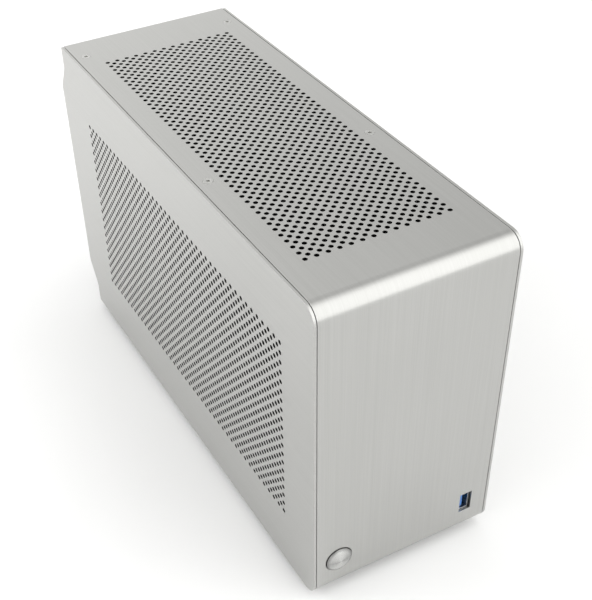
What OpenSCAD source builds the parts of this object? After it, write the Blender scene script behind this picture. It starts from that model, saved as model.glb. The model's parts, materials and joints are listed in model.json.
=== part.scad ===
// A slim aluminium desktop computer tower. One sheet wraps over the front and the top of a sheet-metal
// chassis, and a perforated panel pulls off each side. A divider parts the inside: the main board and the
// power supply stand on its left, and the graphics card on its right.
// +Z is up and the front faces -Y. The origin is under the middle of the tower, on the ground.
// Inside the modules y counts back from the front face, and z up from the underside of the case.

/* [Case] */
// Width over the side panels
case_w = 116; // [116:1:122]
// Depth from the front face to the rear face
case_d = 318; // [318:1:340]
// Height without the feet
case_h = 200; // [200:1:212]
// Outer radius of the bends in the wrap and of the panels' front corners
bend_r = 9.5; // [8.5:0.5:11]
// Thickness of the wrap, the side panels, the floor and the rear panel
sheet_t = 1.5; // [1.2:0.1:1.6]
// Gap between the wrap's edges and a side panel
panel_gap = 0.4; // [0.3:0.1:0.8]
// How far a side panel's finger tab stands out behind the case
tab_out = 9.8; // [6:0.2:12]
// Height of the rubber feet under the case
foot_h = 5; // [4:0.5:8]

/* [Vents] */
// Diameter of a vent hole
vent_d = 2.7; // [2.2:0.1:2.9]
// Step between staggered vent rows, across the case or up it
vent_across = 3.16; // [3.1:0.02:3.3]
// Step between staggered vent rows, from front to back
vent_along = 2.9; // [2.8:0.02:2.96]
// Vent columns across the top
top_cols = 27; // [21:2:29]
// Vent rows along the top
top_rows = 85; // [41:2:89]
// Vent columns along a side
side_cols = 87; // [41:2:89]
// Vent rows up a side
side_rows = 39; // [21:2:43]

/* [Front controls] */
// Distance of the button and of the USB port from the middle plane
control_x = 42.2; // [40:0.1:43]
// Height of the button and of the USB port above the underside
control_z = 23.7; // [22:0.1:26]
// Diameter of the button's head
button_d = 15.8; // [14:0.1:16]
// Gap around the button's head in the front sheet
button_gap = 0.4; // [0.3:0.05:0.6]
// How far the button's crown stands out from the front
button_proud = 2.4; // [1.6:0.1:3]
// Travel of the button
button_travel = 1.5; // [1:0.1:1.5]

/* [Power supply] */
// Width of the power supply across the case
psu_w = 63.5; // [60:0.5:63.5]
// Depth of the power supply from front to back
psu_d = 100; // [96:1:100]
// Height of the power supply
psu_h = 125; // [120:1:125]

/* [Graphics card] */
// Length of the graphics board
card_l = 266; // [250:1:266]
// Height of the graphics board without its edge connector
card_h = 106; // [100:1:106]

/* [Hidden] */

round_fn = 48;
small_fn = 24;

// Case: faces and edges
panel_in = case_w / 2 - sheet_t;
wrap_x = panel_in - panel_gap;
flange_x = wrap_x - sheet_t;
top_in = case_h - sheet_t;
rear_in = case_d - sheet_t;
floor_top = 2 * sheet_t;
front_y = -(case_d + tab_out - button_proud) / 2;
lip_l = 24;
flange_low = 13;
flange_high = case_h - 13.5;
flange_d = 14;
tab_low = 14.5;
tab_slope = 15.5;
tab_corner_r = 6;
tab_root_r = 11;
side_vent_y = 157.5;
top_vent_y = case_d / 2;

// Screws: thread, tapped hole and clearance hole
screw_d = 2.4;
tapped_d = 2.5;
clear_d = 3.2;
head_d = 5.6;
screw_x = 49.3;
screw_rows = [123.3, case_d - 21.5];
lip_screw = [40, 17];
foot_spots = [[-40, 42], [40, 42], [-40, case_d - 33], [40, case_d - 33]];

// Panel studs, which snap into clips behind the frame's flanges
stud_d = 5;
stud_l = 6.6;
stud_spots = [[9, 50], [9, 150], [case_d - 6.5, 50], [case_d - 6.5, 150]];

// Front frame
frame_y = sheet_t + 0.5;
frame_t = 1.2;
frame_back = frame_y + frame_t;

// Button: the flange behind the frame holds it in
button_flange_d = button_d + 2.2;
button_flange_t = 1;
housing_d = 20;
housing_l = 13;

// USB-A port, which stands upright
usb_w = 6;
usb_h = 13.2;
usb_wall = 0.4;
usb_l = 14;
usb_y = sheet_t + 0.1;
port_w = 8;
port_h = 14;

// Divider and main board
divider_x = 9.5;
divider_right = divider_x + sheet_t;
board_t = 1.6;
standoff_l = 6.5;
board_face = divider_x - standoff_l - board_t;
board_side = 170;
board_y = rear_in - 1.5 - board_side;
board_z = 15;
board_holes = [for (y = [5, 160]) for (z = [6.3, 163.7]) [board_y + y, board_z + z]];
io_w = 44.45;
io_h = 158.75;
io_right = board_face + 2.24;
io_low = board_z + 5.6;

drive_face = board_face - 3.4;
drive_y = board_y + 33;
drive_z = board_z + 26;

// Processor and its cooler
cpu_y = board_y + 93;
cpu_z = board_z + 93;
cpu_side = 38;
socket_t = 3.6;
cpu_t = 4;
base_face = board_face - socket_t - cpu_t;
base_t = 8;
pipe_d = 6;
pipe_bend = 8.5;
pipe_x = base_face - base_t / 2;
fin_span = 92;
fin_top = base_face - base_t - 20;
fan_side = 92;
fan_t = 14;
fan_bore = 88;
fan_x = fin_top - 0.4 - fan_t;
shaft_d = 3;

// Power supply
psu_x = divider_x - 0.3 - psu_w;
psu_y = 30;
psu_z = 100 - psu_h / 2;
psu_wall = 1;
psu_fan_y = psu_y + psu_d / 2;
psu_fan_z = psu_z + psu_h / 2;
psu_fan_bore = 84;
psu_fan_back = psu_x + psu_wall + 0.2 + fan_t;
psu_port_x = psu_x + psu_w / 2;
psu_port_z = psu_z + 21;
psu_switch_z = psu_z + 50;

// Mains connectors
inlet_x = 31;
inlet_z = 30;
inlet_w = 27;
inlet_h = 20;
inlet_flange = [48, 22];
recess = [24.4, 16.6];
recess_l = 16;
pin_l = 11;

// Graphics card
card_back = 14;
card_face = card_back + board_t;
chip_t = 3;
card_y = rear_in - 2.4 - card_l;
card_z = 58;
card_top = card_z + card_h;
finger_l = 85;
finger_h = 8.4;
finger_y = card_y + card_l - 53 - finger_l;
shroud_face = 50.5;
shroud_t = 1.5;
card_fan_z = card_z + card_h / 2;
card_fans = [card_y + 68, card_y + 168];
card_fan_bore = 90;
slot_x = [13, 33];
slot_w = 14.5;
slot_z = 56;
slot_h = 108;
bracket_x = 11.6;
bracket_w = 36.8;

// Riser between the main board's expansion slot and the card
slot_y = finger_y;
expansion_z = board_z + 9;
ribbon_t = 0.8;
ribbon_r = 6;
ribbon_x = divider_right + 1;
ribbon_z = 8;

// Cable routes
mains_route = [[31, 297.8, 30], [31, 288, 30], [33, 270, 18], [37, 240, 9], [38, 190, 8], [38, 130, 8],
  [36, 92, 8], [24, 70, 8], [4, 60, 8], [-12, 46, 9], [-20, 28, 15], [-22.5, 19, 28], [-22.5, 18, 44.4]];
board_route = [[-38, 130, 140], [-38, 135, 144], [-39, 143, 158], [-40, 156, 171], [-40, 172, 177],
  [-34, 186, 177], [-22, 193, 176]];
cpu_route = [[-20, 130, 140], [-20, 135, 145], [-21, 143, 162], [-24, 156, 181], [-28, 178, 187],
  [-30, 215, 187], [-30, 262, 186], [-28, 283, 180], [-22, 292, 169]];
card_route = [[-38, 130, 118], [-34, 137, 122], [-18, 140, 128], [-6, 139, 148], [0, 132, 170],
  [10, 123, 178], [18, 118, 180], [20, 117, 172]];
usb_route = [[43, 27, 22], [43, 31, 22], [42, 41, 12], [34, 48, 8.5], [20, 49, 8], [8, 49, 9],
  [-4, 53, 17], [-13, 68, 15], [-18, 90, 9], [-18, 114, 9], [-20, 136, 16], [-20, 148, 30], [-10, 151.5, 34]];
switch_route = [[-42.2, 18.1, 21], [-42.2, 21, 21], [-43, 28, 14], [-44, 44, 8], [-42, 80, 7],
  [-38, 116, 8], [-30, 140, 20], [-20, 150, 44], [-10, 151.5, 48]];

// Maps modules drawn from the case's front underside into the tower's frame
module placed() { translate([0, front_y, foot_h]) children(); }
// A sketch in y and z, made into a sheet that starts at x
module sheet_x(x, t) { translate([x, 0, 0]) rotate([90, 0, 90]) linear_extrude(t) children(); }
// A sketch in x and z, made into a sheet that starts at y
module sheet_y(y, t) { translate([0, y + t, 0]) rotate([90, 0, 0]) linear_extrude(t) children(); }
// A box from its low corner
module block(low, size) { translate(low) cube(size); }
// A cylinder that runs along +X, +Y or +Z from a point
module rod_x(p, d, l, fn = small_fn) { translate(p) rotate([0, 90, 0]) cylinder(d = d, h = l, $fn = fn); }
module rod_y(p, d, l, fn = small_fn) { translate(p) rotate([-90, 0, 0]) cylinder(d = d, h = l, $fn = fn); }
module rod_z(p, d, l, fn = small_fn) { translate(p) cylinder(d = d, h = l, $fn = fn); }
module both_sides() { for (side = [0, 1]) mirror([side, 0, 0]) children(); }
// A rectangle about its centre
module centred(p, size) { translate(p) square(size, center = true); }
// Staggered round holes about a centre
module vents(cols, rows, step_u, step_v) {
  for (i = [0:cols - 1]) for (j = [0:rows - 1]) if ((i + j) % 2 == 0)
    translate([(i - (cols - 1) / 2) * step_u, (j - (rows - 1) / 2) * step_v])
      circle(d = vent_d, $fn = small_fn);
}

function unit(v) = v / norm(v);
// The points that round the corner at b between a and c, with radius r
function corner(a, b, c, r) = r == 0 ? [b] :
  let (u = unit(a - b), v = unit(c - b), half = acos(u * v) / 2, mid = b + unit(u + v) * r / sin(half),
    from = b + u * r / tan(half) - mid, to = b + v * r / tan(half) - mid,
    start = atan2(from[1], from[0]), turn = (atan2(to[1], to[0]) - start + 540) % 360 - 180)
  [for (k = [0:8]) mid + r * [cos(start + turn * k / 8), sin(start + turn * k / 8)]];
function rounded(p, radii) = let (n = len(p))
  [for (i = [0:n - 1]) each corner(p[(i + n - 1) % n], p[i], p[(i + 1) % n], radii[i])];

// A smooth curve through a route's points, and the tube along it
function between(a, b, c, d, t) =
  (2 * b + (c - a) * t + (2 * a - 5 * b + 4 * c - d) * t * t + (3 * b - a - 3 * c + d) * t * t * t) / 2;
function smooth(p, n) = let (e = len(p) - 1)
  [for (i = [0:e - 1]) for (k = [0:n - 1])
    between(p[max(i - 1, 0)], p[i], p[i + 1], p[min(i + 2, e)], k / n), p[e]];
function tangents(p) = [for (i = [0:len(p) - 1]) unit(p[min(i + 1, len(p) - 1)] - p[max(i - 1, 0)])];
function across(t, i = 0, out = []) = i == len(t) ? out :
  let (seed = i > 0 ? out[i - 1] : abs(t[0][2]) < 0.9 ? [0, 0, 1] : [1, 0, 0])
  across(t, i + 1, concat(out, [unit(seed - (seed * t[i]) * t[i])]));
module tube(p, d, sides = 8) {
  t = tangents(p);
  u = across(t);
  last = len(p) - 1;
  rings = [for (i = [0:last]) for (k = [0:sides - 1]) let (a = 360 * k / sides)
    p[i] + d / 2 * (cos(a) * u[i] + sin(a) * cross(t[i], u[i]))];
  walls = [for (i = [0:last - 1]) for (k = [0:sides - 1])
    let (a = i * sides + k, b = i * sides + (k + 1) % sides)
    each [[a, a + sides, b + sides], [a, b + sides, b]]];
  near_cap = [for (k = [0:sides - 1]) k];
  far_cap = [for (k = [sides - 1:-1:0]) last * sides + k];
  polyhedron(rings, concat([near_cap, far_cap], walls));
}

// Countersunk and pan-headed screws, heads up and threads down
module flat_screw(l) {
  difference() {
    union() {
      translate([0, 0, -1.3]) cylinder(d1 = screw_d, d2 = head_d, h = 1.3, $fn = small_fn);
      rod_z([0, 0, -l], screw_d, l);
    }
    translate([0, 0, -1]) cylinder(d = 2.4, h = 2, $fn = 6);
  }
}
module pan_screw(l) {
  difference() {
    union() {
      cylinder(d1 = head_d, d2 = head_d - 1, h = 1.8, $fn = small_fn);
      rod_z([0, 0, -l], screw_d, l + 0.1);
    }
    translate([0, 0, 0.8]) cylinder(d = 2.4, h = 2, $fn = 6);
  }
}
module facing_rear(p) { translate(p) rotate([-90, 0, 0]) children(); }
module facing_front(p) { translate(p) rotate([90, 0, 0]) children(); }
module facing_left(p) { translate(p) rotate([0, -90, 0]) children(); }

// A fan's rotor along +Z: a cupped hub with a shaft bore and tilted blades cut round at their tips
module rotor(d, hub_d, depth, blades) {
  difference() {
    union() {
      cylinder(d = hub_d, h = depth, $fn = round_fn);
      intersection() {
        for (k = [0:blades - 1]) rotate([0, 0, 360 * k / blades])
          translate([hub_d / 2 - 1, 0, depth / 2]) rotate([52, 0, 0])
            translate([0, -0.7, -depth * 0.62]) cube([d / 2, 1.4, depth * 1.24]);
        cylinder(d = d, h = depth, $fn = round_fn);
      }
    }
    translate([0, 0, -1]) cylinder(d = hub_d - 3, h = depth - 0.6, $fn = round_fn);
    translate([0, 0, -1]) cylinder(d = shaft_d + 0.1, h = depth + 2, $fn = small_fn);
  }
}
// What holds a rotor, along +Z: a seat, its struts out to a ring, and the shaft
module rotor_seat(bore, hub_d, seat_t, shaft_l, struts) {
  cylinder(d = hub_d, h = seat_t, $fn = round_fn);
  cylinder(d = hub_d - 5, h = seat_t + 5, $fn = round_fn);
  cylinder(d = shaft_d, h = shaft_l, $fn = small_fn);
  for (k = [0:struts - 1]) rotate([0, 0, 360 * k / struts + 45])
    translate([hub_d / 2 - 1, -2, 0]) cube([(bore - hub_d) / 2 + 2, 4, seat_t - 0.4]);
}

// Case shell
module front_corners(r, inset) {
  translate([inset + r, inset]) square([case_d, case_h - 2 * inset]);
  translate([inset, inset + r]) square([case_d, case_h - 2 * inset - 2 * r]);
  for (z = [inset + r, case_h - inset - r]) translate([inset + r, z]) circle(r, $fn = 96);
}
module wrap_outline() {
  difference() {
    front_corners(bend_r, 0);
    front_corners(bend_r - sheet_t, sheet_t);
    translate([lip_l, -1]) square([2 * case_d, case_h / 2]);
    translate([case_d, -1]) square([2 * case_d, case_h + 2]);
  }
}
module countersink() {
  rod_z([0, 0, -3], clear_d, 4);
  translate([0, 0, -1.4]) cylinder(d1 = screw_d + 0.6, d2 = head_d + 0.4, h = 1.5, $fn = small_fn);
}
module cover_screw_places() {
  both_sides() for (y = screw_rows) translate([screw_x, y, case_h]) children();
  both_sides() translate([lip_screw[0], lip_screw[1], 0]) rotate([180, 0, 0]) children();
}
module wrap_cover() placed() color("silver") difference() {
  sheet_x(-wrap_x, 2 * wrap_x) wrap_outline();
  translate([0, top_vent_y, top_in - 1]) linear_extrude(sheet_t + 2)
    vents(top_cols, top_rows, vent_across, vent_along);
  rod_y([-control_x, -1, control_z], button_d + 2 * button_gap, sheet_t + 2, round_fn);
  block([control_x - port_w / 2, -1, control_z - port_h / 2], [port_w, sheet_t + 2, port_h]);
  cover_screw_places() countersink();
}
module tab_outline() {
  polygon(rounded([[case_d / 2, 0], [case_d, 0], [case_d, tab_low], [case_d + tab_out, tab_low + tab_slope],
    [case_d + tab_out, case_h - tab_low - tab_slope], [case_d, case_h - tab_low], [case_d, case_h],
    [case_d / 2, case_h]], [0, 1, tab_root_r, tab_corner_r, tab_corner_r, tab_root_r, 1, 0]));
}
module panel_sheet() sheet_x(panel_in, sheet_t) difference() {
  union() {
    intersection() {
      front_corners(bend_r, 0);
      square([case_d / 2, case_h]);
    }
    tab_outline();
  }
  translate([side_vent_y, case_h / 2]) vents(side_cols, side_rows, vent_along, vent_across);
}
module right_panel() placed() color("silver") panel_sheet();
module left_panel() placed() color("silver") mirror([1, 0, 0]) panel_sheet();
module studs() for (s = stud_spots) translate([panel_in - stud_l + stud_d / 2, s[0], s[1]]) rotate([0, 90, 0])
  rotate_extrude($fn = small_fn) intersection() {
    union() {
      circle(d = stud_d, $fn = small_fn);
      square([stud_d / 2 - 1, stud_l - stud_d / 2]);
    }
    translate([0, -stud_d]) square([stud_d, stud_l + stud_d]);
  }
module right_panel_studs() placed() color("gray") studs();
module left_panel_studs() placed() color("gray") mirror([1, 0, 0]) studs();
module panel_clips() placed() color("dimgray") both_sides() for (s = stud_spots) difference() {
  rod_x([flange_x - 6, s[0], s[1]], 8.6, 6);
  rod_x([flange_x - 5, s[0], s[1]], stud_d + 0.6, 6);
}

// Chassis
module stud_holes() for (s = stud_spots) rod_x([-case_w, s[0], s[1]], stud_d + 1, 2 * case_w);
module floor_panel() placed() color("gainsboro") difference() {
  sheet_y(bend_r + 1.5, rear_in - bend_r - 1.5) difference() {
    translate([-wrap_x, sheet_t]) square([2 * wrap_x, flange_low - sheet_t - 1]);
    translate([-flange_x, floor_top]) square([2 * flange_x, flange_low]);
  }
  for (x = [-31, 31]) for (k = [0:27]) block([x - 12, 64 + 7 * k, 0], [24, 3, floor_top + 1]);
  for (s = foot_spots) rod_z([s[0], s[1], 0], tapped_d, floor_top + 1);
  both_sides() rod_z([lip_screw[0], lip_screw[1], 0], tapped_d, floor_top + 1);
}
module rear_panel() placed() color("gainsboro") difference() {
  union() {
    sheet_y(rear_in, sheet_t) translate([-wrap_x, 0]) square([2 * wrap_x, top_in - 0.3]);
    both_sides() block([flange_x, rear_in - 10, flange_low], [sheet_t, 10, flange_high - flange_low]);
  }
  stud_holes();
  sheet_y(rear_in - 1, sheet_t + 2) {
    translate([io_right - io_w, io_low]) square([io_w, io_h]);
    for (x = slot_x) translate([x, slot_z]) square([slot_w, slot_h]);
    centred([inlet_x, inlet_z], [inlet_w + 0.6, inlet_h + 0.6]);
    translate([slot_x[0] + 17, slot_z + slot_h + 20]) vents(11, 5, vent_across, vent_along);
    for (s = rear_screw_spots()) translate(s) circle(d = tapped_d, $fn = small_fn);
  }
}
function rear_screw_spots() = [[slot_x[0] + 7, 51.5], [slot_x[1] + 7, 51.5], [inlet_x - 20, inlet_z],
  [inlet_x + 20, inlet_z], [-48.6, case_h - 7.5], [48.6, case_h - 7.5], [2.5, case_h - 8]];
module front_frame() placed() color("gainsboro") difference() {
  union() {
    sheet_y(frame_y, frame_t) translate([-wrap_x, flange_low]) square([2 * wrap_x, flange_high - flange_low]);
    both_sides() {
      block([flange_x, frame_y, flange_low], [sheet_t, flange_d, flange_high - flange_low]);
      for (z = [4, flange_high - 16]) block([flange_x - sheet_t, 5.5, z], [sheet_t, 16, 26]);
    }
  }
  stud_holes();
  rod_y([-control_x, 0, control_z], button_d + 0.6, 10, round_fn);
  block([control_x - usb_w / 2 - 1, 0, control_z - usb_h / 2 - 1], [usb_w + 2, 10, usb_h + 2]);
}
module top_rails() placed() color("gainsboro") both_sides() difference() {
  rail_x = screw_x - 7.3;
  rail_z = flange_high + 1;
  union() {
    sheet_y(17, rear_in - 17.2) difference() {
      translate([rail_x, rail_z]) square([wrap_x - rail_x, top_in - rail_z]);
      square([flange_x, top_in - sheet_t]);
    }
    block([rail_x, rear_in - sheet_t - 0.2, rail_z], [12.6, sheet_t, top_in - rail_z]);
  }
  for (y = screw_rows) rod_z([screw_x, y, top_in - 5], tapped_d, 6);
  rod_y([48.6, rear_in - 3, case_h - 7.5], tapped_d, 6);
}
module divider() placed() color("gainsboro") difference() {
  union() {
    sheet_x(divider_x, sheet_t) {
      translate([16, 14]) square([rear_in - 16.2, 150]);
      translate([board_y - 3, 160]) square([rear_in - board_y + 2.8, case_h - 166]);
      for (y = [20, rear_in - 36]) translate([y, floor_top]) square([26, 14]);
      translate([frame_back, 44]) square([14, 16]);
    }
    for (y = [20, rear_in - 36]) block([divider_right - 0.1, y, floor_top], [14, 26, sheet_t]);
    block([divider_right - 0.1, frame_back, 44], [13, sheet_t, 16]);
    block([divider_x - 13, rear_in - sheet_t - 0.2, case_h - 13.5], [13.1, sheet_t, 7.5]);
    sheet_y(psu_y - sheet_t, sheet_t) difference() {
      translate([psu_x + 1, psu_z]) square([divider_x - psu_x, psu_h]);
      translate([psu_x + 12, psu_z + 3]) square([psu_w - 24, psu_h - 14]);
    }
  }
  for (s = psu_screw_spots()) rod_y([s[0], psu_y - 3, s[1]], clear_d, 6);
  for (s = board_holes) rod_x([divider_x - 1, s[0], s[1]], tapped_d, 4);
  rod_y([2.5, rear_in - 3, case_h - 8], tapped_d, 6);
}
module feet() placed() color("dimgray") for (s = foot_spots) translate([s[0], s[1], 0])
  rotate_extrude($fn = round_fn) difference() {
    polygon([[0, sheet_t], [8, sheet_t], [8, 0], [7, -foot_h + 0.6], [6.4, -foot_h], [0, -foot_h]]);
    translate([0, -foot_h - 1]) square([3.4, 3.6]);
    translate([0, -foot_h - 1]) square([clear_d / 2, foot_h + 4]);
  }
module foot_screws() placed() color("gray") for (s = foot_spots)
  translate([s[0], s[1], -foot_h + 2.6]) rotate([180, 0, 0]) pan_screw(foot_h + floor_top - 2.4);
module cover_screws() placed() color("lightgray") cover_screw_places() flat_screw(4.4);
module case_screws() placed() color("lightgray") {
  for (s = rear_screw_spots()) facing_rear([s[0], case_d + (s[1] == inlet_z ? 2.4 : 0), s[1]])
    pan_screw(s[1] == inlet_z ? 4 : 2.6);
  for (s = psu_screw_spots()) facing_front([s[0], psu_y - sheet_t, s[1]]) pan_screw(4);
}

// Front controls
module power_button() placed() color("lightgray") {
  crown = button_proud - 0.6;
  crown_r = (button_d * button_d / 4 + crown * crown) / (2 * crown);
  head_l = frame_back + button_proud + 1.2;
  facing_rear([-control_x, 0, control_z]) {
    intersection() {
      translate([0, 0, crown_r - button_proud]) sphere(crown_r, $fn = 96);
      translate([0, 0, -button_proud - 1]) cylinder(d = button_d, h = head_l, $fn = round_fn);
    }
    translate([0, 0, frame_back + 0.2]) cylinder(d = button_flange_d, h = button_flange_t, $fn = round_fn);
    translate([0, 0, frame_back]) cylinder(d = 4, h = 6.5, $fn = small_fn);
  }
}
module button_housing() placed() color("black") difference() {
  rod_y([-control_x, frame_back, control_z], housing_d, housing_l, round_fn);
  rod_y([-control_x, frame_back - 1, control_z], button_flange_d + 0.6, housing_l - 1, round_fn);
  rod_y([-control_x, 0, control_z], 7, 30);
}
module button_spring() placed() color("silver") {
  turns = 5;
  steps = 14 * turns;
  coil = [for (k = [0:steps]) let (a = 360 * turns * k / steps)
    [-control_x + 4.6 * cos(a), frame_back + 1.6 + (housing_l - 4) * k / steps, control_z + 4.6 * sin(a)]];
  tube(coil, 0.6, 6);
}
module button_switch() placed() color("darkslategray") {
  block([-control_x - 6, frame_back + housing_l, control_z - 6], [12, 1.6, 12]);
  rod_y([-control_x, frame_back + 6.8 + button_travel, control_z], 3.4, housing_l - 6.7 - button_travel);
}
module usb_cavity(w, h, l) block([-w / 2, -1, -h / 2], [w, l + 1, h]);
module usb_shell() placed() color("silver") translate([control_x, usb_y, control_z]) difference() {
  block([-usb_w / 2, 0, -usb_h / 2], [usb_w, usb_l, usb_h]);
  usb_cavity(usb_w - 2 * usb_wall, usb_h - 2 * usb_wall, usb_l - usb_wall);
}
module usb_tongue() placed() color("royalblue") translate([control_x, usb_y, control_z]) {
  block([-usb_w / 2 + 0.9, 1.2, -5.5], [1.9, usb_l - 2.6, 11]);
  block([-usb_w / 2 + usb_wall, usb_l - 3.4, -usb_h / 2 + usb_wall],
    [usb_w - 2 * usb_wall, 3.4 - usb_wall, usb_h - 2 * usb_wall]);
}
module usb_board() placed() color("darkgreen") {
  block([control_x + usb_w / 2, frame_back + 1.5, control_z - 12], [1.2, 26, 24]);
  block([control_x - 1, usb_y + usb_l + 2, control_z - 7], [usb_w / 2 + 1, 9, 10]);
}

// Main board
module mainboard() placed() color("darkgreen") sheet_x(board_face, board_t) difference() {
  translate([board_y, board_z]) square(board_side);
  for (s = board_holes) translate(s) circle(d = 4, $fn = small_fn);
}
module board_standoffs() placed() color("goldenrod") {
  for (s = board_holes) difference() {
    rod_x([board_face + board_t, s[0], s[1]], 6, standoff_l, 6);
    rod_x([board_face, s[0], s[1]], tapped_d, 20);
  }
  difference() {
    rod_x([drive_face + 0.8, drive_y + 76.5, drive_z + 11], 5, board_face - drive_face - 0.8, 6);
    rod_x([drive_face, drive_y + 76.5, drive_z + 11], tapped_d, 10);
  }
}
module board_screws() placed() color("lightgray") {
  for (s = board_holes) facing_left([board_face, s[0], s[1]]) pan_screw(5);
  facing_left([drive_face, drive_y + 76.5, drive_z + 11]) pan_screw(2.8);
}
module socket_cut(z, drop, w, h) centred([board_face - drop, z], [h, w]);
// Each rear socket: height of its centre, width up the board, reach from the board, and its mouths
usb_stacks = [35, 53, 91];
module socket_block(z, w, reach, l) block([board_face - reach, case_d - l, z - w / 2], [reach - 0.2, l, w]);
module mouth(z, drop, w, h, l) block([board_face - drop - h / 2, case_d - l, z - w / 2], [h, l + 1, w]);
module tongue(z, drop, w, h, l) block([board_face - drop - h / 2, case_d - l, z - w / 2], [h, l - 1, w]);
module rear_sockets() placed() color("silver") {
  for (z = usb_stacks) {
    difference() {
      socket_block(z, 14.8, 16, 18);
      for (drop = [4.3, 11.7]) mouth(z, drop, 13.2, 5.2, 15);
    }
    for (drop = [4.3, 11.7]) tongue(z, drop + 1, 11, 1.9, 15.1);
  }
  difference() {
    socket_block(72, 16.2, 14, 21);
    mouth(72, 7, 12, 9, 13);
  }
  difference() {
    socket_block(110, 16.6, 6.8, 16);
    mouth(110, 3.5, 15.4, 4.8, 12);
  }
  tongue(110, 3.5, 13, 1.2, 12.1);
  difference() {
    socket_block(129, 15.6, 6.4, 14);
    mouth(129, 3.3, 14.2, 4.6, 11);
  }
  tongue(129, 3.3, 12, 1.2, 11.1);
  for (drop = [6, 18]) {
    rod_y([board_face - drop, case_d - 8, 150], 6.3, 11.5);
    rod_y([board_face - drop, case_d - 16, 150], 8, 8.1);
  }
}
jack_drops = [7, 19, 31];
jack_z = 170;
jack_d = 3.6;
jack_l = 14;
module audio_jacks() placed() color("dimgray") for (drop = jack_drops) difference() {
  union() {
    block([board_face - drop - 5.7, case_d - jack_l - 1, jack_z - 6], [11.4, jack_l - 1, 12]);
    rod_y([board_face - drop, case_d - 3, jack_z], 8.4, 3);
  }
  rod_y([board_face - drop, case_d - jack_l, jack_z], jack_d, jack_l + 1);
}
module io_outline(grow) translate([io_right - io_w - grow, io_low - grow])
  square([io_w + 2 * grow, io_h + 2 * grow]);
module io_shield() placed() color("silver") difference() {
  union() {
    sheet_y(rear_in - 0.5, 0.5) io_outline(0.8);
    sheet_y(rear_in - 0.5, 1.2) io_outline(-0.2);
  }
  sheet_y(rear_in - 1, 3) {
    for (z = usb_stacks) socket_cut(z, 8.1, 15.4, 16.6);
    socket_cut(72, 7.1, 16.8, 14.6);
    socket_cut(110, 3.5, 17.2, 7.6);
    socket_cut(129, 3.3, 16.2, 7.2);
    for (drop = [6, 18]) translate([board_face - drop, 150]) circle(d = 7, $fn = small_fn);
    for (drop = jack_drops) translate([board_face - drop, jack_z]) circle(d = 9, $fn = small_fn);
  }
}
module processor() placed() color("silver") {
  block([board_face - socket_t, cpu_y - 24, cpu_z - 24], [socket_t, 48, 48]);
  block([base_face, cpu_y - cpu_side / 2, cpu_z - cpu_side / 2], [cpu_t + 0.1, cpu_side, cpu_side]);
}
module vrm_heatsink() placed() color("slategray") difference() {
  block([board_face - 16, board_y + 92, board_z + 146], [15.8, 46, 17]);
  for (k = [0:6]) block([board_face - 17, board_y + 95 + 6 * k, board_z + 140], [11, 3, 30]);
}
module board_sockets() placed() color("darkslategray") {
  for (k = [0, 1]) difference() {
    block([board_face - 8, board_y + 12 + 10 * k, board_z + 12], [7.9, 7, 140]);
    block([board_face - 9, board_y + 14.6 + 10 * k, board_z + 14.8], [6, 1.8, 134.4]);
  }
  difference() {
    block([board_face - 11, slot_y - 2, expansion_z], [10.9, finger_l + 4, 7.5]);
    block([board_face - 12, slot_y - 0.4, expansion_z + 2.7], [9, finger_l + 0.8, 2.1]);
  }
  block([board_face - 12, board_y + 22, board_z + 156], [11.9, 52, 10]);
  block([board_face - 12, board_y + 139, board_z + 148], [11.9, 18, 10]);
  block([board_face - 8, board_y + 3, board_z + 11], [7.9, 7, 16]);
  block([board_face - 8, board_y + 3, board_z + 28], [7.9, 7, 10]);
  difference() {
    block([board_face - 5, drive_y - 2.5, drive_z], [4.9, 7, 22]);
    block([drive_face - 0.1, drive_y - 0.3, drive_z - 1], [1, 8, 24]);
  }
}
module memory_modules() placed() color("darkgreen") for (k = [0, 1]) {
  block([board_face - 32, board_y + 14.9 + 10 * k, board_z + 15.2], [28.6, 1.2, 133.6]);
  for (y = [13.6, 16.1]) block([board_face - 31, board_y + y + 10 * k, board_z + 18], [21, 1.3, 128]);
}

// Processor cooler
module cooler_base() placed() color("peru") difference() {
  union() {
    block([base_face - base_t, cpu_y - 20, cpu_z - 20], [base_t, 40, 40]);
    translate([base_face - base_t + 1, cpu_y, cpu_z]) for (a = [45, 135]) rotate([a, 0, 0]) {
      block([0, -54, -5], [2.5, 108, 10]);
      for (s = [-50, 50]) rod_x([1, s, 0], 5, board_face - base_face + base_t - 2);
    }
  }
  for (z = [-15:10:15]) rod_y([pipe_x, cpu_y - 30, cpu_z + z], pipe_d, 60);
}
module bent_pipe() {
  rod_y([0, -16, 0], pipe_d, fin_span / 2 + 16);
  translate([-pipe_bend, fin_span / 2, 0]) rotate_extrude(angle = 180, $fn = round_fn)
    translate([pipe_bend, 0]) circle(d = pipe_d, $fn = small_fn);
  rod_y([-2 * pipe_bend, -42, 0], pipe_d, fin_span / 2 + 42);
}
module heat_pipes() placed() color("peru") translate([pipe_x, cpu_y, cpu_z]) for (k = [0:3])
  translate([0, 0, -15 + 10 * k]) mirror([0, k % 2, 0]) bent_pipe();
module cooler_fins() placed() color("silver") difference() {
  translate([fin_top, cpu_y - fin_span / 2, cpu_z - fin_span / 2]) linear_extrude(fin_span) {
    for (k = [0:36]) translate([0, 0.8 + 2.5 * k]) square([14, 0.5]);
    square([0.6, fin_span]);
  }
  for (z = [-15:10:15]) rod_y([pipe_x - 2 * pipe_bend, cpu_y - 60, cpu_z + z], pipe_d, 120);
}
module fan_frame(side, bore, t) {
  difference() {
    linear_extrude(t) centred([0, 0], [side, side]);
    translate([0, 0, -1]) cylinder(d = bore, h = t + 2, $fn = round_fn);
    for (x = [-1, 1]) for (y = [-1, 1]) rod_z([x * (side / 2 - 4.8), y * (side / 2 - 4.8), -1], 4.3, t + 2);
  }
}
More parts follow.
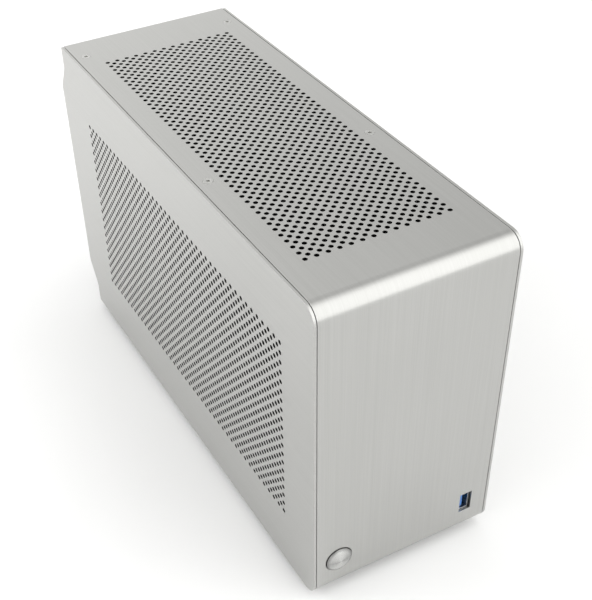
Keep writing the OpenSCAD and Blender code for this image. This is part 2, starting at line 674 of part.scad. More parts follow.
module along_x(p) { translate(p) rotate([0, 90, 0]) children(); }
module cooler_fan_frame() placed() color("dimgray") facing_left([fan_x + fan_t, cpu_y, cpu_z]) {
  fan_frame(fan_side, fan_bore, fan_t);
  rotor_seat(fan_bore, 34, 2, fan_t - 1, 4);
}
module cooler_fan() placed() color("black") facing_left([fan_x + fan_t - 2.6, cpu_y, cpu_z])
  rotor(fan_bore - 3, 36, fan_t - 3.4, 9);

// Power supply
function psu_screw_spots() = [for (x = [6, psu_w - 6]) for (z = [6, psu_h - 6]) [psu_x + x, psu_z + z]];
module psu_face_holes() {
  for (s = psu_screw_spots()) translate(s) circle(d = tapped_d, $fn = small_fn);
  translate([psu_port_x, psu_z + 92]) vents(13, 15, vent_across, vent_along);
  centred([psu_port_x, psu_port_z], [inlet_h + 0.4, inlet_w + 0.4]);
  centred([psu_port_x, psu_switch_z], [13.4, 19.4]);
}
module psu_case() placed() color("darkslategray") difference() {
  block([psu_x, psu_y, psu_z], [psu_w, psu_d, psu_h]);
  block([psu_x + psu_wall, psu_y + psu_wall, psu_z + psu_wall],
    [psu_w - 2 * psu_wall, psu_d - 2 * psu_wall, psu_h - 2 * psu_wall]);
  rod_x([psu_x - 1, psu_fan_y, psu_fan_z], psu_fan_bore, psu_wall + 2, round_fn);
  sheet_y(psu_y - 1, psu_wall + 2) psu_face_holes();
  for (p = [board_route[0], cpu_route[0], card_route[0]]) rod_y([p[0], psu_y + psu_d - 5, p[2]], 9, 10);
}
module psu_fan_guard() placed() color("silver") translate([psu_x, psu_fan_y, psu_fan_z]) rotate([0, 90, 0]) {
  for (r = [12, 20, 28, 36]) rotate_extrude($fn = round_fn) translate([r, 0.1]) circle(d = 1.4, $fn = 16);
  for (a = [0:60:120]) rotate([0, 0, a]) rod_x([-46, 0, -0.8], 1.6, 92, 16);
}
module psu_fan_frame() placed() color("dimgray") facing_left([psu_fan_back, psu_fan_y, psu_fan_z]) {
  fan_frame(fan_side, psu_fan_bore, fan_t);
  rotor_seat(psu_fan_bore, 32, 2, fan_t - 1, 4);
}
module psu_fan() placed() color("black") facing_left([psu_fan_back - 2.6, psu_fan_y, psu_fan_z])
  rotor(psu_fan_bore - 3, 34, fan_t - 3.4, 7);
module psu_switch_frame() placed() color("black") difference() {
  union() {
    block([psu_port_x - 7.5, psu_y - 2, psu_switch_z - 10.5], [15, 2, 21]);
    block([psu_port_x - 6.5, psu_y - 0.1, psu_switch_z - 9.5], [13, 12, 19]);
  }
  block([psu_port_x - 5, psu_y - 3, psu_switch_z - 8], [10, 13, 16]);
  rod_x([psu_port_x - 6, psu_y + 3, psu_switch_z], 2.1, 12);
}
rocker_tilt = 8;
module psu_switch() placed() color("black") translate([psu_port_x, psu_y + 3, psu_switch_z])
  rotate([-rocker_tilt, 0, 0]) {
    sheet_x(-4.6, 9.2) difference() {
      polygon([[-5.4, -7], [-4.4, 0], [-5.4, 7], [3, 3], [3, -3]]);
      circle(d = 1, $fn = small_fn);
    }
    rod_x([-5.8, 0, 0], 2, 11.6);
  }
module mains_outline(w, h) polygon([[-w / 2, -h / 2], [w / 2, -h / 2], [w / 2, h / 2 - 4.5],
  [w / 2 - 4.5, h / 2], [4.5 - w / 2, h / 2], [-w / 2, h / 2 - 4.5]]);
module mains_pins(grow) for (p = [[-7, -2], [7, -2], [0, 2]])
  block([p[0] - 1 - grow, 0, p[1] - 2 - grow], [2 + 2 * grow, pin_l + grow, 4 + 2 * grow]);
// A mains socket whose mouth faces -Y, with its flange on the plane y = 0
module mains_socket(flange, l, screw_holes) {
  difference() {
    union() {
      block([-flange[0] / 2, -2.4, -flange[1] / 2], [flange[0], 2.4, flange[1]]);
      block([-inlet_w / 2, -0.1, -inlet_h / 2], [inlet_w, l + 0.1, inlet_h]);
    }
    sheet_y(-3, recess_l + 0.6) mains_outline(recess[0], recess[1]);
    if (screw_holes) for (x = [-20, 20]) rod_y([x, -3, 0], clear_d, 6);
  }
  translate([0, recess_l - 2.4 - pin_l, 0]) mains_pins(0);
}
module psu_socket() placed() color("black") translate([psu_port_x, psu_y, psu_port_z]) rotate([0, 90, 0])
  mains_socket([31, 23], 18, false);
module mains_inlet() placed() color("black") translate([inlet_x, case_d, inlet_z]) rotate([0, 0, 180])
  mains_socket(inlet_flange, 20, true);
module mains_plug() placed() color("black") translate([psu_port_x, psu_y, psu_port_z]) rotate([0, 90, 0]) {
  difference() {
    union() {
      block([-13, -20, -9], [27, 17.4, 18]);
      sheet_y(-2.7, 14) mains_outline(recess[0] - 0.6, recess[1] - 0.6);
    }
    translate([0, recess_l - 2.4 - pin_l, 0]) mains_pins(0.3);
  }
}
module mains_cable() placed() color("black") tube(smooth(mains_route, 5), 7);
module board_power_cables() placed() color("black") {
  tube(smooth(board_route, 5), 8);
  block([board_face - 26, board_y + 23, board_z + 156.5], [11.9, 50, 9]);
  tube(smooth(cpu_route, 5), 5.4);
  block([board_face - 26, board_y + 140, board_z + 148.5], [11.9, 16, 9]);
}
module card_power_cable() placed() color("black") {
  tube(smooth(card_route, 5), 6);
  block([card_face + 0.6, card_y + 59, card_top + 0.2], [7.8, 20, 9]);
}
module front_cables() placed() color("black") {
  tube(smooth(usb_route, 4), 4);
  block([board_face - 14, board_y + 3.3, board_z + 11.5], [5.9, 6.4, 15]);
  tube(smooth(switch_route, 4), 2.4);
  block([board_face - 14, board_y + 3.3, board_z + 28.5], [5.9, 6.4, 9]);
}

// Graphics card
module graphics_board() placed() color("darkgreen") {
  sheet_x(card_back, board_t) difference() {
    union() {
      translate([card_y, card_z]) square([card_l, card_h]);
      translate([finger_y, card_top - 1]) square([finger_l, finger_h + 1]);
    }
    translate([finger_y + finger_l - 13, card_top]) square([1.9, 20]);
  }
  block([card_face - 0.1, card_y + 122, card_fan_z - 20], [chip_t + 0.1, 40, 40]);
  block([card_face - 0.1, card_y + 58, card_top - 14], [9.1, 22, 14]);
}
card_ports = [78, 98, 118, 140];
module graphics_ports() placed() color("silver") for (z = card_ports) {
  difference() {
    block([card_face, case_d - 20, z - 8.2], [6.4, 19.4, 16.4]);
    block([card_face + 0.8, case_d - 12, z - 7.5], [4.8, 14, 15]);
  }
  block([card_face + 2.6, case_d - 12.1, z - 6.4], [1.2, 10, 12.8]);
}
module graphics_heatsink() placed() color("silver")
  difference() {
    translate([card_face + chip_t, card_y + 8, card_z + 4]) linear_extrude(card_h - 8) {
      square([3, 240]);
      for (k = [0:59]) translate([0, 4 * k]) square([14.4, 0.8]);
    }
    block([card_face, card_y + 54, card_top - 20], [20, 30, 20]);
  }
module graphics_fan_places() for (y = card_fans) along_x([card_face + 19, y, card_fan_z]) children();
module graphics_shroud() placed() color("dimgray") {
  low = card_face + 10;
  depth = shroud_face - low;
  difference() {
    block([low, card_y + 2, card_z - 1], [depth, 252, card_h + 2]);
    block([low - 1, card_y + 3.5, card_z + 0.5], [depth - shroud_t + 1, 249, card_h - 1]);
    graphics_fan_places() cylinder(d = card_fan_bore, h = 40, $fn = round_fn);
    for (k = [0:11]) block([low + 5, card_y + 16 + 20 * k, card_z - 5], [12, 12, card_h + 10]);
  }
  for (y = [5.4, 250.6]) for (z = [5, card_h - 12])
    rod_x([card_face, card_y + y, card_z + z], 4, shroud_face - card_face - 0.5);
  graphics_fan_places() {
    difference() {
      cylinder(d = card_fan_bore + 3, h = shroud_face - card_face - 18, $fn = round_fn);
      translate([0, 0, -1]) cylinder(d = card_fan_bore, h = 40, $fn = round_fn);
    }
    rotor_seat(card_fan_bore, 34, 2, 13, 3);
  }
}
module card_rotor(y) placed() color("black") along_x([card_face + 21.6, y, card_fan_z])
  rotor(card_fan_bore - 3, 36, 11, 11);
module graphics_fan_front() card_rotor(card_fans[0]);
module graphics_fan_rear() card_rotor(card_fans[1]);
module graphics_bracket() placed() color("silver") {
  sheet_y(rear_in - 1, 0.9) difference() {
    translate([bracket_x, 46]) square([bracket_w, 124]);
    for (z = card_ports) centred([card_face + 3.2, z], [7, 17]);
    for (k = [0:11]) centred([slot_x[1] + slot_w / 2, 66 + 8 * k], [12, 4]);
    for (x = slot_x) translate([x + 7, 51.5]) circle(d = tapped_d, $fn = small_fn);
  }
  for (z = [card_z + 1, card_top - 12]) block([card_face, rear_in - 11, z], [1, 10.1, 10]);
}

// Riser
module quarter(r, corner_x, corner_z) intersection() {
  difference() {
    circle(r + ribbon_t / 2, $fn = round_fn);
    circle(r - ribbon_t / 2, $fn = round_fn);
  }
  translate([corner_x * 20, corner_z * 20]) square(40, center = true);
}
module ribbon_outline() {
  plug_x = board_face - 16;
  low = ribbon_z + ribbon_r;
  translate([plug_x - ribbon_t / 2, low]) square([ribbon_t, expansion_z - low]);
  translate([plug_x + ribbon_r, low]) quarter(ribbon_r, -1, -1);
  translate([plug_x + ribbon_r, ribbon_z - ribbon_t / 2])
    square([ribbon_x - plug_x - 2 * ribbon_r, ribbon_t]);
  translate([ribbon_x - ribbon_r, low]) quarter(ribbon_r, 1, -1);
  translate([ribbon_x - ribbon_t / 2, low]) square([ribbon_t, card_top - low + 0.3]);
}
module riser_cable() placed() color("black") {
  sheet_y(slot_y, finger_l) ribbon_outline();
  block([board_face - 21, slot_y - 2, expansion_z - 1], [9.9, finger_l + 4, 9.5]);
  block([board_face - 11.2, slot_y, expansion_z + 3], [7.8, finger_l, 1.5]);
}
module riser_socket() placed() color("black") difference() {
  union() {
    block([divider_right + 0.1, finger_y - 3, card_top + 0.3], [7.4, finger_l + 6, 11.2]);
    for (y = [finger_y - 10, finger_y + finger_l + 2.9])
      block([divider_right, y, card_top + 2], [3, 7.1, 8]);
  }
  block([card_back - 0.2, finger_y - 0.4, card_top - 1], [board_t + 0.4, finger_l + 0.8, finger_h + 2]);
}

// Storage module, held by its socket and one screw
module drive() placed() color("darkslategray") {
  difference() {
    block([drive_face, drive_y, drive_z], [0.8, 80, 22]);
    rod_x([drive_face - 1, drive_y + 76.5, drive_z + 11], 3, 3);
  }
  for (y = [8, 30, 52]) block([drive_face - 1.5, drive_y + y, drive_z + 3.5], [1.5, 16, 15]);
}

wrap_cover();
left_panel();
right_panel();
left_panel_studs();
right_panel_studs();
panel_clips();
floor_panel();
rear_panel();
front_frame();
top_rails();
divider();
feet();
foot_screws();
cover_screws();
case_screws();
power_button();
button_housing();
button_spring();
button_switch();
usb_shell();
usb_tongue();
usb_board();
mainboard();
board_standoffs();
board_screws();
io_shield();
rear_sockets();
audio_jacks();
processor();
vrm_heatsink();
board_sockets();
memory_modules();
cooler_base();
heat_pipes();
cooler_fins();
cooler_fan_frame();
cooler_fan();
psu_case();
psu_fan_guard();
psu_fan_frame();
psu_fan();
psu_switch_frame();
psu_switch();
psu_socket();
mains_inlet();
mains_plug();
mains_cable();
board_power_cables();
card_power_cable();
front_cables();
graphics_board();
graphics_ports();
graphics_heatsink();
graphics_shroud();
graphics_bracket();
graphics_fan_front();
graphics_fan_rear();
riser_cable();
riser_socket();
drive();
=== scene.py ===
"""Looks of the slim aluminium computer tower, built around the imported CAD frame.

Units are metres. +Z is up and the front faces -Y, as in the CAD model.
"""
import json
import math

import bpy
from mathutils import Matrix, Vector


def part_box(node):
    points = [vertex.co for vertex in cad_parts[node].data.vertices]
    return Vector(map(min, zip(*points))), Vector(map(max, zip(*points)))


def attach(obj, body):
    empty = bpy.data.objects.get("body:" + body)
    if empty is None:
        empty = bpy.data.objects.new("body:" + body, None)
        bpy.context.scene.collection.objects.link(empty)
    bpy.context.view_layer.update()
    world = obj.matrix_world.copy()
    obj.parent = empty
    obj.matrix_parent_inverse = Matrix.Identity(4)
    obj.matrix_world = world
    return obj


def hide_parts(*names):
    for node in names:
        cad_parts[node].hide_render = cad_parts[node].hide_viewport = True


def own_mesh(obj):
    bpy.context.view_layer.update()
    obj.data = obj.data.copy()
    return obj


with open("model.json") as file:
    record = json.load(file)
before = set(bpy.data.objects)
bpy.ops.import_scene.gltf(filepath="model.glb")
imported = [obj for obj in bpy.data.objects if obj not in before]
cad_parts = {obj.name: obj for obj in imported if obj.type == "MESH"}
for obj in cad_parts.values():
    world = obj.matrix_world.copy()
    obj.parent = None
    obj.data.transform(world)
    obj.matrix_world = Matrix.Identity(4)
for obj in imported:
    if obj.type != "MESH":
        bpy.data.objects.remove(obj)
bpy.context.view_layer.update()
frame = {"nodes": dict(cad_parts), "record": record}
nodes = frame["nodes"]


# Camera: at the viewing angle of the picture of the tower
def add_camera():
    place = Vector((-0.2490, -0.4901, 0.4998))
    azimuth, elevation, roll = (math.radians(a) for a in (-26.855, 40.451, -2.205))
    back = Vector((math.sin(azimuth) * math.cos(elevation), -math.cos(azimuth) * math.cos(elevation),
                   math.sin(elevation)))
    right = (-back).cross(Vector((0, 0, 1))).normalized()
    up = right.cross(-back)
    x_axis = math.cos(roll) * right + math.sin(roll) * up
    y_axis = math.cos(roll) * up - math.sin(roll) * right
    data = bpy.data.cameras.new("camera")
    data.sensor_width = 36.0
    data.lens = 65.78
    data.shift_x = 0.0528
    data.shift_y = 0.1052
    data.clip_end = 50.0
    camera = bpy.data.objects.new("camera", data)
    camera.matrix_world = Matrix.Translation(place) @ Matrix((x_axis, y_axis, back)).transposed().to_4x4()
    bpy.context.scene.collection.objects.link(camera)
    bpy.context.scene.camera = camera


def add_node(tree, kind, inputs=None, **settings):
    """A shader node with its settings, and its inputs from values or from other nodes' sockets."""
    node = tree.nodes.new(kind)
    for key, value in settings.items():
        setattr(node, key, value)
    for key, value in (inputs or {}).items():
        if isinstance(value, bpy.types.NodeSocket):
            tree.links.new(value, node.inputs[key])
        else:
            node.inputs[key].default_value = value
    return node


# Materials
class Surface:
    """A principled material, with short chains of procedural nodes for its colour, roughness and relief."""

    def __init__(self, name, metallic=0.0, coat=0.0, anisotropic=0.0):
        self.material = bpy.data.materials.new(name)
        self.material.use_nodes = True
        self.tree = self.material.node_tree
        self.shader = self.tree.nodes["Principled BSDF"]
        self.set("Metallic", metallic)
        self.set("Coat Weight", coat)
        self.set("Anisotropic", anisotropic)
        self.place = self.add("ShaderNodeTexCoord").outputs["Object"]
        self.normal = None

    def set(self, socket, value):
        self.shader.inputs[socket].default_value = value

    def link(self, output, socket):
        self.tree.links.new(output, self.shader.inputs[socket])

    def add(self, kind, inputs=None, **settings):
        return add_node(self.tree, kind, inputs, **settings)

    def scaled(self, scale):
        return self.add("ShaderNodeMapping", {"Vector": self.place, "Scale": scale}).outputs[0]

    def noise(self, scale, detail=2.0, roughness=0.5):
        return self.add("ShaderNodeTexNoise", {"Vector": self.scaled(scale), "Scale": 1.0, "Detail": detail,
                                               "Roughness": roughness}).outputs["Fac"]

    def cells(self, scale, distance="EUCLIDEAN"):
        return self.add("ShaderNodeTexVoronoi", {"Vector": self.scaled(scale), "Scale": 1.0},
                        distance=distance)

    def waves(self, vector, scale, direction, distortion=0.0):
        return self.add("ShaderNodeTexWave", {"Vector": vector, "Scale": scale, "Distortion": distortion},
                        bands_direction=direction).outputs["Fac"]

    def grey(self, color):
        return self.add("ShaderNodeRGBToBW", {0: color}).outputs[0]

    def blend(self, a, b, share):
        """a and b mixed, with this share of b."""
        return self.add("ShaderNodeMix", {0: share, 2: a, 3: b}, data_type="FLOAT").outputs[0]

    def math(self, operation, *values):
        return self.add("ShaderNodeMath", dict(enumerate(values)), operation=operation).outputs[0]

    def vector_math(self, operation, *values):
        return self.add("ShaderNodeVectorMath", dict(enumerate(values)), operation=operation)

    def along(self, vector, axis):
        return self.add("ShaderNodeSeparateXYZ", {0: vector}).outputs[axis]

    def steps(self, value, low, high, start=0.3, end=0.7):
        """Colour low up to start, colour high from end, and a smooth change between them."""
        node = self.add("ShaderNodeValToRGB", {0: value})
        for element, position, color in zip(node.color_ramp.elements, (start, end), (low, high)):
            element.position = position
            element.color = (*color, 1.0)
        return node.outputs[0]

    def over(self, below, above, mask):
        """The colour above laid over the one below as far as mask says, from 0 to 1."""
        return self.add("ShaderNodeMix", {0: mask, 6: below, 7: (*above, 1.0)}, data_type="RGBA").outputs[2]

    def ranged(self, value, low, high, start=0.0, end=1.0):
        return self.add("ShaderNodeMapRange", {0: value, 1: start, 2: end, 3: low, 4: high}).outputs[0]

    def color(self, value):
        self.link(value, "Base Color")

    def rough(self, value, low, high, start=0.25, end=0.75):
        self.link(self.ranged(value, low, high, start, end), "Roughness")

    def soft_edges(self, radius):
        """Edges catch the light as if they were broken by this radius."""
        self.normal = self.add("ShaderNodeBevel", {"Radius": radius}, samples=6).outputs[0]
        self.link(self.normal, "Normal")

    def relief(self, height, depth, strength=1.0):
        """Relief as deep as this, in metres, on top of any soft edges or relief made before."""
        bump = self.add("ShaderNodeBump", {"Height": height, "Distance": depth, "Strength": strength})
        if self.normal is not None:
            self.tree.links.new(self.normal, bump.inputs["Normal"])
        self.normal = bump.outputs[0]
        self.link(self.normal, "Normal")


def vent_field(node, **margins):
    """How far a sheet's vents reach along its own two axes: its box, less a plain margin on every side."""
    low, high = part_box(node)
    return {axis: (getattr(low, axis) + margin, getattr(high, axis) - margin)
            for axis, margin in margins.items()}


def brushed(name, across, low, high, rough=(0.30, 0.40), edge=0.0003, vents=None):
    """Sheet brushed in long lines: across is the axis that the lines are narrow in.

    vents is the sheet's vent field, where the holes' walls are painted darker, as painted shade inside the
    holes.
    """
    def scale(fine, long):
        return tuple(fine if i == across else long for i in range(3))

    skin = Surface(name, metallic=1.0, anisotropic=0.45)
    fine = skin.noise(scale(3400.0, 14.0), roughness=0.6)
    streaks = skin.noise(scale(700.0, 4.0))
    clouds = skin.noise((9.0, 7.0, 8.0), detail=1.0)
    grain = skin.blend(fine, streaks, 0.28)
    mixed = skin.blend(grain, clouds, 0.25)
    color = skin.steps(mixed, low, high, 0.28, 0.72)
    # Painted shade: in the vent field, walls facing across the sheet (the holes' walls) get a darker colour
    if vents:
        facing = next(axis for axis in "xyz" if axis not in vents).upper()
        normal = skin.add("ShaderNodeNewGeometry").outputs["True Normal"]
        hole_wall_shade = skin.math("LESS_THAN", skin.math("ABSOLUTE", skin.along(normal, facing)), 0.6)
        for axis, (start, end) in vents.items():
            reach = skin.along(skin.place, axis.upper())
            hole_wall_shade = skin.math("MULTIPLY", hole_wall_shade, skin.math("GREATER_THAN", reach, start))
            hole_wall_shade = skin.math("MULTIPLY", hole_wall_shade, skin.math("LESS_THAN", reach, end))
        color = skin.over(color, tuple(0.35 * v for v in low), hole_wall_shade)
    skin.color(color)
    skin.rough(mixed, *rough)
    if edge:
        skin.soft_edges(edge)
    skin.relief(grain, 0.000006)
    tangent = skin.add("ShaderNodeCombineXYZ", {across: 1.0}).outputs[0]
    skin.link(tangent, "Tangent")
    return skin.material


def plated(name, low, high, rough=(0.26, 0.42), cell=90.0):
    """Zinc or nickel plate: faint spangle and handling marks."""
    skin = Surface(name, metallic=1.0)
    spangle = skin.grey(skin.cells((cell, cell, cell)).outputs["Color"])
    marks = skin.noise((160.0, 900.0, 900.0), detail=3.0)
    mixed = skin.blend(spangle, marks, 0.7)
    skin.color(skin.steps(mixed, low, high, 0.2, 0.8))
    skin.rough(mixed, *rough)
    skin.soft_edges(0.0002)
    skin.relief(marks, 0.000008)
    return skin.material


def moulded(name, low, high, rough=(0.45, 0.62), grain=2600.0, depth=0.00003, coat=0.0):
    """Moulded plastic or rubber with a spark-eroded texture."""
    skin = Surface(name, coat=coat)
    texture = skin.noise((grain, grain, grain))
    patches = skin.noise((38.0, 38.0, 38.0), detail=3.0)
    mixed = skin.blend(texture, patches, 0.55)
    skin.color(skin.steps(mixed, low, high))
    skin.rough(mixed, *rough)
    skin.soft_edges(0.00025)
    skin.relief(texture, depth)
    return skin.material


def powder_coat(name, low, high):
    """Baked paint with a fine orange-peel surface."""
    skin = Surface(name, coat=0.15)
    pits = skin.noise((1500.0, 1500.0, 1500.0), detail=1.0)
    skin.color(skin.steps(pits, low, high))
    skin.rough(pits, 0.38, 0.55)
    skin.soft_edges(0.0004)
    skin.relief(pits, 0.00006)
    return skin.material


def laminate(name, mask_low, mask_high, track):
    """A printed circuit board: tracks under the solder mask, plated holes, and rows of soldered parts."""
    plated_gold, solder_tin, part_black = (0.55, 0.47, 0.28), (0.42, 0.42, 0.41), (0.014, 0.014, 0.015)
    skin = Surface(name, coat=0.4)
    turns = skin.math("GREATER_THAN", skin.grey(skin.cells((60.0, 60.0, 60.0)).outputs["Color"]), 0.5)
    level, upright = skin.waves(skin.place, 150.0, "Z"), skin.waves(skin.place, 150.0, "Y")
    tracks = skin.math("GREATER_THAN", skin.blend(level, upright, turns), 0.62)
    holes = skin.math("LESS_THAN", skin.cells((260.0, 260.0, 260.0)).outputs["Distance"], 0.11)
    cloud = skin.noise((30.0, 30.0, 30.0))
    parts = skin.cells((0.0, 150.0, 105.0), "CHEBYCHEV")
    size = skin.ranged(skin.grey(parts.outputs["Color"]), 0.0, 0.3, 0.42, 0.75)
    package = skin.math("LESS_THAN", parts.outputs["Distance"], size)
    solder = skin.math("LESS_THAN", parts.outputs["Distance"], skin.math("MULTIPLY", size, 1.3))
    base = skin.steps(cloud, mask_low, mask_high)
    base = skin.over(base, track, skin.math("MULTIPLY", tracks, 0.55))
    base = skin.over(base, plated_gold, skin.math("MULTIPLY", holes, 0.8))
    base = skin.over(base, solder_tin, solder)
    skin.color(skin.over(base, part_black, package))
    skin.rough(cloud, 0.28, 0.42)
    skin.relief(tracks, 0.00004, 0.6)
    skin.relief(package, 0.0006)
    return skin.material


def braided(name, low, high):
    """A cable's woven sleeve."""
    skin = Surface(name)
    warp = skin.waves(skin.place, 143.3, "DIAGONAL", 0.6)
    weft = skin.waves(skin.scaled((-1.0, 1.0, 1.0)), 143.3, "DIAGONAL", 0.6)
    weave = skin.math("MAXIMUM", warp, weft)
    skin.color(skin.steps(weave, low, high, 0.35, 0.95))
    skin.rough(weave, 0.78, 0.55, 0.2, 1.0)
    skin.relief(weave, 0.00015)
    return skin.material


def turned(name, low, high, centre, rim):
    """Polished metal turned on a lathe about a Y axis through centre: its highlights fan out from the middle,
    partly from the turned lines and partly painted, as colour lighter above and below the middle than at the
    sides.

    rim is the radius beyond which the face is painted darker, a painted reflection of the dark of the studio.
    """
    lines_per_metre = 5200.0
    skin = Surface(name, metallic=1.0, anisotropic=0.85)
    moved = skin.vector_math("SUBTRACT", skin.place, centre).outputs[0]
    flat = skin.vector_math("MULTIPLY", moved, (1.0, 0.0, 1.0)).outputs[0]
    radius = skin.vector_math("LENGTH", flat).outputs["Value"]
    lines = skin.math("MULTIPLY", radius, lines_per_metre)
    rings = skin.add("ShaderNodeTexNoise", {"W": lines, "Scale": 1.0, "Detail": 2.0},
                     noise_dimensions="1D").outputs["Fac"]
    outward = skin.vector_math("NORMALIZE", flat).outputs[0]
    # Painted highlight: the face's colour is lighter above and below the middle than at the sides
    painted_highlight_fan = skin.ranged(skin.math("ABSOLUTE", skin.along(outward, "Z")), 0.62, 1.0)
    face = skin.vector_math("MULTIPLY", skin.steps(rings, low, high), painted_highlight_fan).outputs[0]
    # Painted reflection: beyond rim the face is painted darker, standing in for the dark of the studio
    skin.color(skin.over(face, tuple(0.4 * v for v in low), skin.ranged(radius, 0.0, 0.7, rim, rim + 0.001)))
    skin.rough(rings, 0.20, 0.28)
    skin.soft_edges(0.0004)
    skin.relief(rings, 0.000004)
    skin.link(outward, "Tangent")
    return skin.material


button_low, button_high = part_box("power_button")
button_centre = (button_low + button_high) / 2
button_centre.y = 0.0
# Radius beyond which the button's face carries a painted dark reflection
button_rim = (button_high.x - button_low.x) / 2 - 0.0026
case_low, case_high = (0.44, 0.44, 0.427), (0.52, 0.52, 0.507)

materials = {
    "wrap": brushed("wrap_aluminium", 0, case_low, case_high,
                    vents=vent_field("wrap_cover", x=0.010, y=0.020)),
    "panel": brushed("panel_aluminium", 2, case_low, case_high,
                     vents=vent_field("left_panel", y=0.024, z=0.024)),
    "rear": brushed("rear_aluminium", 0, case_low, case_high),
    "chassis_sheet": plated("zinc_plate", (0.40, 0.41, 0.42), (0.60, 0.61, 0.62)),
    "button_metal": turned("button_steel", (0.48, 0.48, 0.47), (0.66, 0.66, 0.65), button_centre, button_rim),
    "screw_steel": plated("screw_nickel", (0.42, 0.42, 0.41), (0.62, 0.62, 0.60), (0.2, 0.34), 700.0),
    "port_steel": plated("port_nickel", (0.50, 0.50, 0.50), (0.68, 0.68, 0.67), (0.2, 0.34), 260.0),
    "spring_steel": plated("spring_wire", (0.45, 0.45, 0.46), (0.62, 0.62, 0.63), (0.2, 0.3), 500.0),
    "fin_aluminium": brushed("fin_aluminium", 0, (0.60, 0.60, 0.60), (0.74, 0.74, 0.74), (0.25, 0.38), 0),
    "copper": brushed("copper", 2, (0.62, 0.33, 0.20), (0.80, 0.46, 0.31), (0.2, 0.34), 0),
    "brass": plated("brass", (0.55, 0.41, 0.16), (0.72, 0.56, 0.27), (0.22, 0.36), 500.0),
    "black_plastic": moulded("black_plastic", (0.012, 0.012, 0.013), (0.026, 0.026, 0.028)),
    "grey_plastic": moulded("grey_plastic", (0.045, 0.045, 0.048), (0.075, 0.075, 0.08)),
    "blue_plastic": moulded("blue_plastic", (0.015, 0.13, 0.42), (0.03, 0.20, 0.58), (0.3, 0.42), coat=0.3),
    "foot_rubber": moulded("foot_rubber", (0.014, 0.014, 0.014), (0.032, 0.031, 0.030), (0.65, 0.85), 1400.0,
                           0.00008),
    "cable_sleeve": braided("cable_sleeve", (0.006, 0.006, 0.007), (0.032, 0.032, 0.034)),
    "psu_paint": powder_coat("powder_coat", (0.014, 0.014, 0.015), (0.028, 0.028, 0.030)),
    "shroud_plastic": moulded("shroud_plastic", (0.020, 0.020, 0.022), (0.040, 0.040, 0.044), (0.28, 0.42),
                              coat=0.3),
    "green_board": laminate("green_laminate", (0.010, 0.055, 0.028), (0.016, 0.085, 0.042),
                            (0.03, 0.14, 0.07)),
    "black_board": laminate("black_laminate", (0.008, 0.009, 0.011), (0.014, 0.016, 0.019),
                            (0.03, 0.034, 0.04)),
    "black_heatsink": brushed("black_anodised", 0, (0.022, 0.022, 0.024), (0.05, 0.05, 0.054), (0.3, 0.45)),
    "drive_metal": moulded("drive_packages", (0.012, 0.012, 0.013), (0.024, 0.024, 0.026), (0.3, 0.45)),
}
outer_sheets = {"wrap_cover": "wrap", "left_panel": "panel", "right_panel": "panel", "rear_panel": "rear"}
for part in frame["record"]["subparts"]:
    name = part["node"]
    mesh = nodes[name].data
    mesh.materials.clear()
    mesh.materials.append(materials[outer_sheets.get(name, part["material_slot"])])


# The button's spring: a copy of the CAD spring with its own mesh, attached to the chassis
def add_spring():
    cad = nodes["button_spring"]
    spring = cad.copy()
    spring.data = cad.data.copy()
    spring.name = "coil_spring"
    bpy.context.scene.collection.objects.link(spring)
    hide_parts("button_spring")
    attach(spring, "chassis")
    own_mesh(spring)


add_spring()


# Stage: a pale floor in a studio that is brightest above the front, with one softbox at the left
def add_floor():
    mesh = bpy.data.meshes.new("floor")
    reach = 7.0
    corners = [(-reach, -reach, 0), (reach, -reach, 0), (reach, reach, 0), (-reach, reach, 0)]
    mesh.from_pydata(corners, [], [(0, 1, 2, 3)])
    floor = bpy.data.objects.new("floor", mesh)
    bpy.context.scene.collection.objects.link(floor)
    skin = Surface("floor_paper")
    paper = skin.noise((6.0, 6.0, 6.0))
    skin.color(skin.steps(paper, (0.865, 0.865, 0.865), (0.885, 0.885, 0.885)))
    skin.rough(paper, 0.75, 0.85)
    mesh.materials.append(skin.material)


def add_softbox(name, place, target, size, power):
    data = bpy.data.lights.new(name, "AREA")
    data.shape = "RECTANGLE"
    data.size, data.size_y = size
    data.energy = power
    light = bpy.data.objects.new(name, data)
    light.location = place
    light.rotation_euler = (Vector(target) - Vector(place)).to_track_quat("-Z", "Y").to_euler()
    bpy.context.scene.collection.objects.link(light)


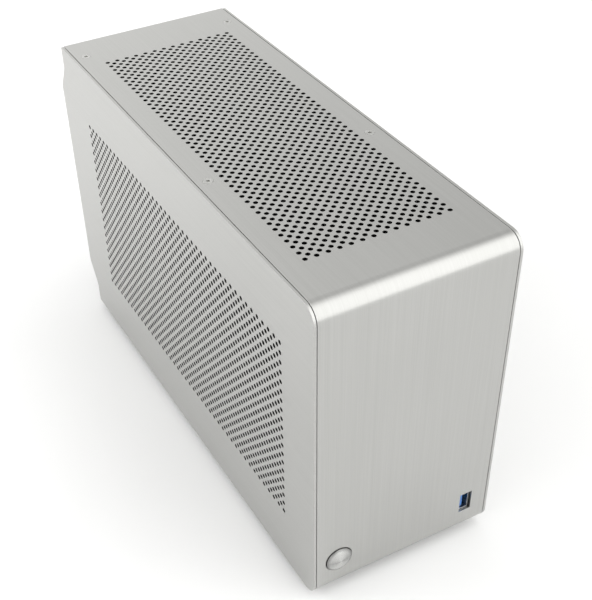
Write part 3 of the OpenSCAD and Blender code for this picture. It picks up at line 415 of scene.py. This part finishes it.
# The studio's walls. Turn runs around the X axis: 0 straight down, 0.25 at the rear, 0.5 straight up and
# 0.75 at the front. Side runs from 0 at the left to 1 at the right. Each pair is a place and its level.
ROOM_STRENGTH = 2.32
ROOM_BY_TURN = [(0.0, 0.4), (0.25, 0.64), (0.37, 0.47), (0.44, 0.36), (0.49, 0.7), (0.54, 1.0), (0.74, 1.0),
                (0.79, 0.55), (0.85, 0.4)]
REAR_BY_SIDE = [(0.2, 0.78), (0.5, 0.85), (0.64, 1.0), (0.76, 0.76), (1.0, 0.62)]
FRONT_BY_SIDE = [(0.1, 0.85), (0.30, 0.25), (0.42, 0.35), (0.62, 0.95), (1.0, 0.9)]


def add_room():
    world = bpy.data.worlds.new("room")
    bpy.context.scene.world = world
    world.use_nodes = True
    tree = world.node_tree

    def add(kind, inputs=None, output=0, **settings):
        return add_node(tree, kind, inputs, **settings).outputs[output]

    def levels(value, stops):
        node = add_node(tree, "ShaderNodeValToRGB", {0: value})
        ramp = node.color_ramp
        ramp.interpolation = "EASE"
        while len(ramp.elements) < len(stops):
            ramp.elements.new(0.5)
        for element, (position, level) in zip(ramp.elements, stops):
            element.position = position
            element.color = (level, level, level * 0.995, 1.0)
        return node.outputs[0]

    axes = add_node(tree, "ShaderNodeSeparateXYZ", {0: add("ShaderNodeTexCoord", output="Generated")})
    forward = add("ShaderNodeMath", {0: axes.outputs["Y"], 1: -1.0}, operation="MULTIPLY")
    angle = add("ShaderNodeMath", {0: forward, 1: axes.outputs["Z"]}, operation="ARCTAN2")
    turn = add("ShaderNodeMapRange", {0: angle, 1: -math.pi, 2: math.pi})
    side = add("ShaderNodeMapRange", {0: axes.outputs["X"], 1: -1.0, 2: 1.0})
    in_front = add("ShaderNodeMapRange", {0: angle, 1: -0.35, 2: 0.35}, interpolation_type="SMOOTHSTEP")
    rear = levels(side, REAR_BY_SIDE)
    front = levels(side, FRONT_BY_SIDE)
    by_side = add("ShaderNodeMix", {0: in_front, 6: rear, 7: front}, output=2, data_type="RGBA")
    room = add("ShaderNodeMix", {0: 1.0, 6: levels(turn, ROOM_BY_TURN), 7: by_side},
               output=2, data_type="RGBA", blend_type="MULTIPLY")
    background = tree.nodes["Background"]
    tree.links.new(room, background.inputs["Color"])
    background.inputs["Strength"].default_value = ROOM_STRENGTH


bpy.context.scene.view_settings.view_transform = "Standard"
add_camera()
add_floor()
add_room()
add_softbox("left_softbox", (-1.15, 0.55, 0.8), (-0.1, 0.05, 0.0), (0.8, 0.6), 6.0)
